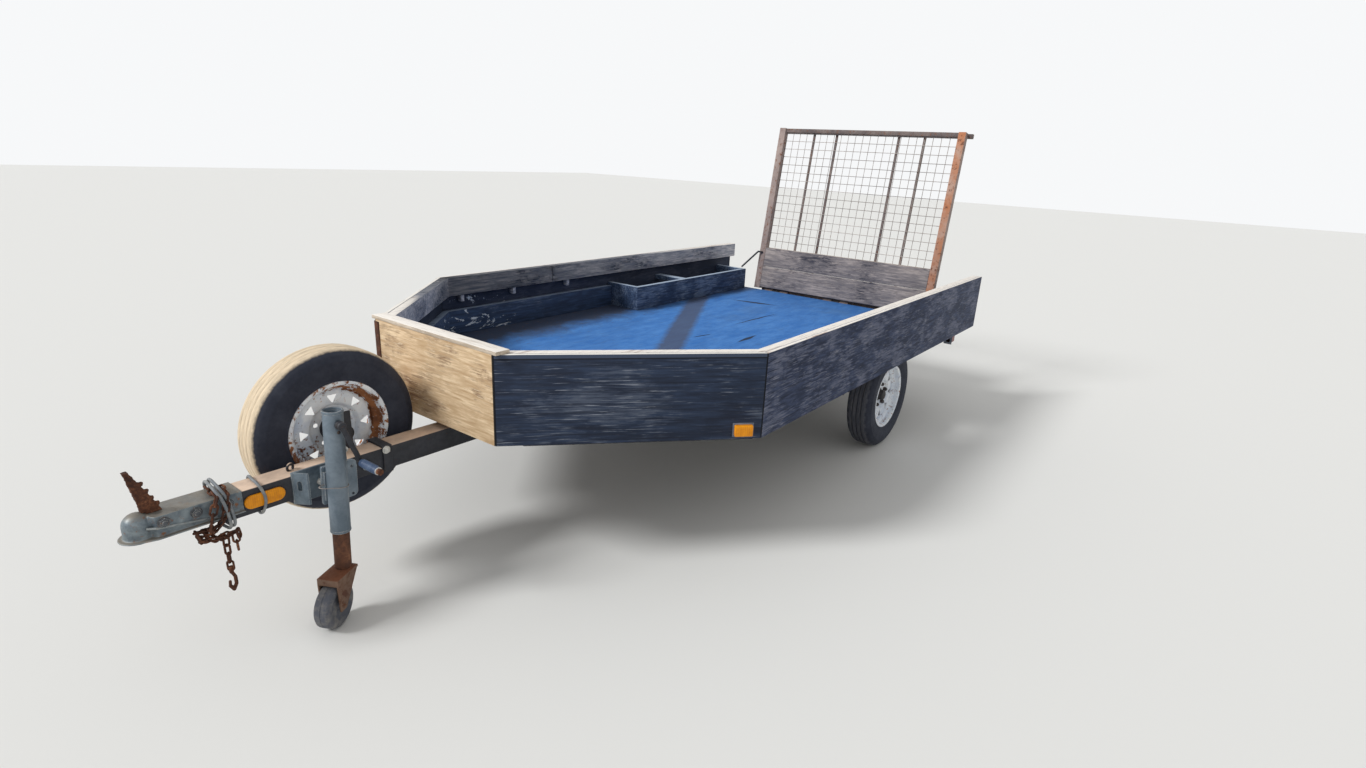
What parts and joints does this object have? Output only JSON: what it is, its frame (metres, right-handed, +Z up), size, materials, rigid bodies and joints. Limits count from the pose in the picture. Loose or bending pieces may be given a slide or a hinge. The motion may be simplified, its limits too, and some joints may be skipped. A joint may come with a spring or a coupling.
{
  "type": "single-axle utility trailer",
  "caption": "Low timber-sided utility trailer with a pointed nose, mesh ramp gate at the rear, spare wheel beside the drawbar and swivel jack with castor wheel.",
  "frame": {"origin": "on the ground under the middle of the whole trailer's box", "axes": "+X forward towards the coupler, +Y to the left side, +Z up"},
  "size_m": [4.2302, 1.83, 1.6152],
  "materials": {
    "black_steel": "worn black paint with rust at the edges",
    "black_ply": "weathered plywood with worn black paint",
    "bare_wood": "bare weathered softwood",
    "deck_paint": "plywood with worn blue-grey paint",
    "grey_steel": "weathered grey zinc and paint",
    "rusty_steel": "rust",
    "rust_post": "faded orange primer with rust",
    "white_rim": "white paint, chipped and rusting",
    "hub_steel": "greasy dark casting",
    "tyre": "worn, dusty tread",
    "mesh_wire": "weathered wire with light rust",
    "castor_rubber": "dusty solid rubber",
    "amber_lens": "ribbed amber lens",
    "red_lens": "dull red lens",
    "crank_grip": "faded blue-grey plastic"
  },
  "bodies": {
    "chassis": {"drawbar": "black_steel", "frame_rails": "black_steel", "cross_members": "black_steel", "nose_rails": "black_steel", "deck": "deck_paint", "side_panel_left": "black_ply", "side_panel_right": "black_ply", "nose_panel_left": "black_ply", "nose_panel_right": "black_ply", "front_panel": "black_ply", "rim_boards": "bare_wood", "kick_boards": "black_ply", "wheel_box_left": "black_ply", "wheel_box_right": "black_ply", "axle_beam": "black_steel", "leaf_springs": "rusty_steel", "spring_hangers": "black_steel", "axle_clamps": "rusty_steel", "spare_rim": "white_rim", "spare_tyre": "tyre", "spare_carrier": "black_steel", "hinge_straps": "black_steel", "coupler": "grey_steel", "coupler_latch": "rusty_steel", "safety_chain": "rusty_steel", "chain_hook": "rusty_steel", "jack_bracket": "grey_steel", "marker_lamps": "amber_lens", "tail_lamps": "red_lens", "drawbar_reflectors": "amber_lens"},
    "wheel_left": {"hub_left": "hub_steel", "rim_left": "white_rim", "tyre_left": "tyre"},
    "wheel_right": {"hub_right": "hub_steel", "rim_right": "white_rim", "tyre_right": "tyre"},
    "gate": {"gate_frame": "rust_post", "gate_boards": "black_ply", "gate_mesh": "mesh_wire", "gate_stay": "black_steel"},
    "jack": {"jack_tube": "grey_steel", "jack_crank": "crank_grip"},
    "jack_leg": {"jack_leg": "rusty_steel"},
    "castor": {"castor_fork": "grey_steel"},
    "castor_wheel": {"castor_wheel": "castor_rubber"}
  },
  "joints": [
    {"name": "wheel_left_spin", "type": "hinge", "parent": "chassis", "child": "wheel_left", "pos_m": [-0.91987, 0.77, 0.268], "axis": [0, 1, 0], "continuous": true},
    {"name": "wheel_right_spin", "type": "hinge", "parent": "chassis", "child": "wheel_right", "pos_m": [-0.91987, -0.77, 0.268], "axis": [0, 1, 0], "continuous": true},
    {"name": "gate_hinge", "type": "hinge", "parent": "chassis", "child": "gate", "pos_m": [-1.88787, 0, 0.505], "axis": [0, -1, 0], "range_deg": [0, 107]},
    {"name": "jack_swivel", "type": "hinge", "parent": "chassis", "child": "jack", "pos_m": [1.61013, 0.066, 0.43], "axis": [0, -1, 0], "range_deg": [0, 88]},
    {"name": "jack_slide", "type": "slide", "parent": "jack", "child": "jack_leg", "axis": [-0.0349, 0, 0.9994], "range_m": [-0.1, 0.11]},
    {"name": "castor_swivel", "type": "hinge", "parent": "jack_leg", "child": "castor", "pos_m": [1.61955, 0.118, 0.16016], "axis": [-0.0349, 0, 0.9994], "continuous": true},
    {"name": "castor_spin", "type": "hinge", "parent": "castor", "child": "castor_wheel", "pos_m": [1.67468, 0.148, 0.07029], "axis": [-0.4997, 0.866, -0.0175], "continuous": true}
  ]
}
